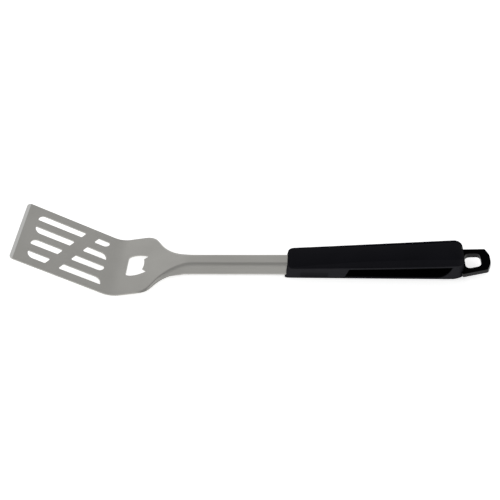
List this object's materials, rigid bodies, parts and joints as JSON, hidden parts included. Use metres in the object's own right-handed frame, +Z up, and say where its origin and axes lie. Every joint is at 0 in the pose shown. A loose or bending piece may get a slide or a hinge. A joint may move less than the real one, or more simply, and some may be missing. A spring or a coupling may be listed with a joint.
{
  "type": "grill spatula",
  "caption": "Grill turner: slotted angled steel blade, bottle-opener hole in the neck, folded channel shaft and black shell handle with a hang loop.",
  "frame": {"origin": "on the table plane, under the middle of the object's bounding box", "axes": "+X from the blade towards the hang loop, +Y across to the left looking along +X, +Z up from the table that the heel of the blade and the underside of the handle rest on"},
  "size_m": [0.4643, 0.0762, 0.0559],
  "materials": {
    "steel": "satin stainless, fine grain along the sheet",
    "hard_black": "satin hard plastic, near black",
    "grip_black": "fine-textured soft-touch black",
    "zinc_steel": "plated steel, semi-gloss"
  },
  "bodies": {
    "root": {"turner_sheet": "steel", "handle_core": "hard_black", "grip_upper": "grip_black", "grip_lower": "grip_black", "tang_rivet_front": "zinc_steel", "tang_rivet_rear": "zinc_steel", "shell_screw_front": "zinc_steel", "shell_screw_middle": "zinc_steel", "shell_screw_rear": "zinc_steel"}
  },
  "joints": []
}
